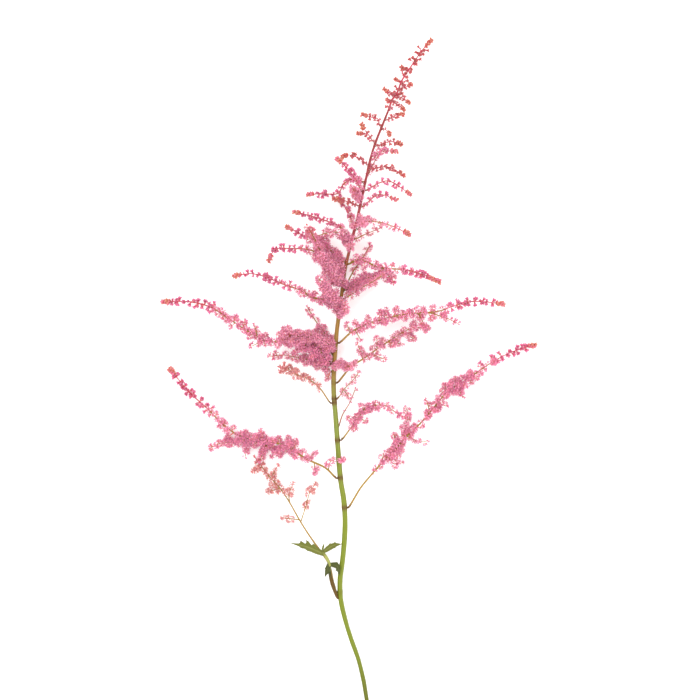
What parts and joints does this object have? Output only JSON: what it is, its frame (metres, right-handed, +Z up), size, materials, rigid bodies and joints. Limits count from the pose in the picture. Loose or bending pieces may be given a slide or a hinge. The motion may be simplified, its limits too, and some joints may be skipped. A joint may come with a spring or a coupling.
{
  "type": "cut astilbe flower stem",
  "caption": "Cut astilbe stem lying down: a curved green stem with one small toothed leaf and an airy, tapering plume of side sprays set with pink florets.",
  "frame": {"origin": "on the surface that the stem lies on, under the middle of the whole object's box", "axes": "+Y from the cut end towards the tip of the plume, +Z up from the surface, +X to the right seen from above"},
  "size_m": [0.3098, 0.5394, 0.0618],
  "materials": {
    "stem": "satin green stem, olive below, ochre and pink above, finely ribbed and downy",
    "leaf": "matte olive leaf with sunken veins and a brown sheath",
    "petals_bright": "soft matte petals, bright pink with mauve shadows",
    "petals_mauve": "soft matte petals, mauve pink",
    "petals_salmon": "soft matte petals, salmon pink with coral buds",
    "petals_crimson": "soft matte buds and petals, crimson pink"
  },
  "bodies": {
    "root": {"leaf": "leaf", "main_stem": "stem", "spray_front_1": "petals_mauve", "spray_front_2": "petals_mauve", "spray_front_3": "petals_mauve", "spray_front_4": "petals_mauve", "spray_front_5": "petals_mauve", "spray_front_6": "petals_mauve", "spray_front_7": "petals_mauve", "spray_left_01": "petals_salmon", "spray_left_02": "petals_bright", "spray_left_03": "petals_salmon", "spray_left_04": "petals_bright", "spray_left_05": "petals_mauve", "spray_left_06": "petals_mauve", "spray_left_07": "petals_bright", "spray_left_08": "petals_bright", "spray_left_09": "petals_bright", "spray_left_10": "petals_crimson", "spray_left_11": "petals_bright", "spray_left_12": "petals_mauve", "spray_left_13": "petals_crimson", "spray_left_14": "petals_bright", "spray_left_15": "petals_bright", "spray_left_16": "petals_crimson", "spray_left_17": "petals_crimson", "spray_left_18": "petals_crimson", "spray_right_01": "petals_bright", "spray_right_02": "petals_bright", "spray_right_03": "petals_mauve", "spray_right_04": "petals_mauve", "spray_right_05": "petals_bright", "spray_right_06": "petals_mauve", "spray_right_07": "petals_bright", "spray_right_08": "petals_bright", "spray_right_09": "petals_crimson", "spray_right_10": "petals_bright", "spray_right_11": "petals_bright", "spray_right_12": "petals_bright", "spray_right_13": "petals_crimson", "spray_right_14": "petals_bright", "spray_right_15": "petals_crimson", "spray_right_16": "petals_crimson", "spray_right_17": "petals_crimson", "spray_under_1": "petals_mauve", "spray_under_2": "petals_mauve", "spray_under_3": "petals_mauve", "spray_under_4": "petals_mauve", "spray_under_5": "petals_mauve", "top_spray": "petals_crimson"}
  },
  "joints": []
}
